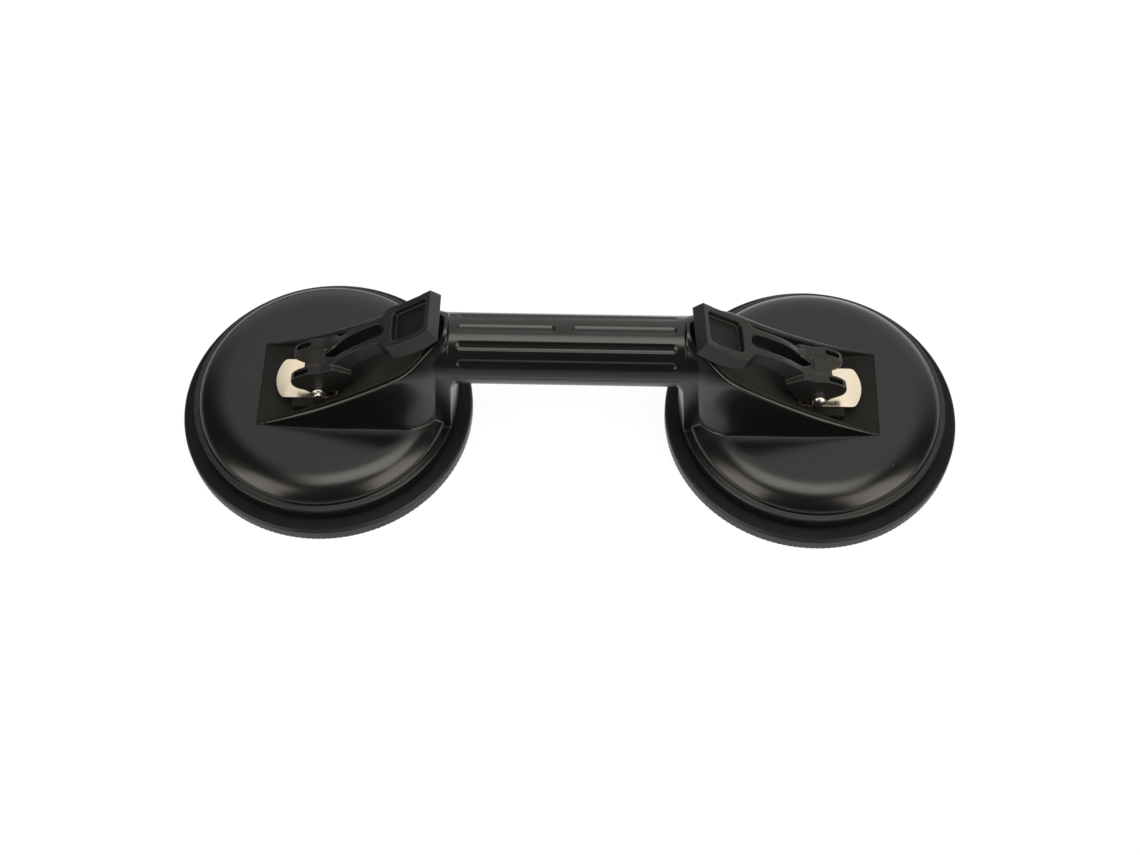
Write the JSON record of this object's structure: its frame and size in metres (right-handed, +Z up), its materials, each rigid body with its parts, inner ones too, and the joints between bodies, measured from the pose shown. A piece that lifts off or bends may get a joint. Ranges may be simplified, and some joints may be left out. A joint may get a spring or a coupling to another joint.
{
  "type": "vacuum suction lifter",
  "caption": "Hand tool that grips smooth sheets with two rubber vacuum cups joined by a bar handle, each cup drawn up by its own cam lever.",
  "frame": {"origin": "on the floor under the middle of the handle, where the two rubber discs stand", "axes": "+X along the handle towards the right cup, +Y away from the front, +Z up"},
  "size_m": [0.32, 0.12, 0.0755],
  "materials": {
    "black_abs": "semi-matt moulded black ABS",
    "cover_abs": "matt moulded black ABS, a shade lighter",
    "lever_nylon": "matt moulded black nylon",
    "rubber": "smooth black rubber",
    "nickel_plate": "bright nickel-plated sheet steel",
    "zinc_steel": "zinc-plated steel",
    "spring_steel": "bright spring steel"
  },
  "bodies": {
    "housing": {"body_shell": "black_abs", "handle_underside": "cover_abs", "left_rubber_disc": "rubber", "left_return_spring": "spring_steel", "left_wear_plate": "nickel_plate", "right_rubber_disc": "rubber", "right_return_spring": "spring_steel", "right_wear_plate": "nickel_plate"},
    "left_stud": {"left_draw_stud": "zinc_steel", "left_anchor_plate": "zinc_steel", "left_spring_washer": "zinc_steel", "left_pivot_pin": "zinc_steel", "left_retaining_ring": "spring_steel"},
    "left_lever": {"left_lever": "lever_nylon"},
    "right_stud": {"right_draw_stud": "zinc_steel", "right_anchor_plate": "zinc_steel", "right_spring_washer": "zinc_steel", "right_pivot_pin": "zinc_steel", "right_retaining_ring": "spring_steel"},
    "right_lever": {"right_lever": "lever_nylon"}
  },
  "joints": [
    {"name": "left_stud_lift", "type": "slide", "parent": "housing", "child": "left_stud", "axis": [0, 0, 1], "range_m": [0, 0.0085], "deforming": ["left_return_spring", "left_rubber_disc"]},
    {"name": "left_lever_swing", "type": "hinge", "parent": "left_stud", "child": "left_lever", "pos_m": [-0.1, 0, 0.03], "axis": [0, -1, 0], "range_deg": [0, 118]},
    {"name": "right_stud_lift", "type": "slide", "parent": "housing", "child": "right_stud", "axis": [0, 0, 1], "range_m": [0, 0.0085], "deforming": ["right_return_spring", "right_rubber_disc"]},
    {"name": "right_lever_swing", "type": "hinge", "parent": "right_stud", "child": "right_lever", "pos_m": [0.1, 0, 0.03], "axis": [-0.0785, 0.9969, 0], "range_deg": [0, 118]}
  ],
  "couplings": [
    {"joint": "left_stud_lift", "follows": "left_lever_swing", "m_per_rad": 0.00408},
    {"joint": "right_stud_lift", "follows": "right_lever_swing", "m_per_rad": 0.00408}
  ]
}
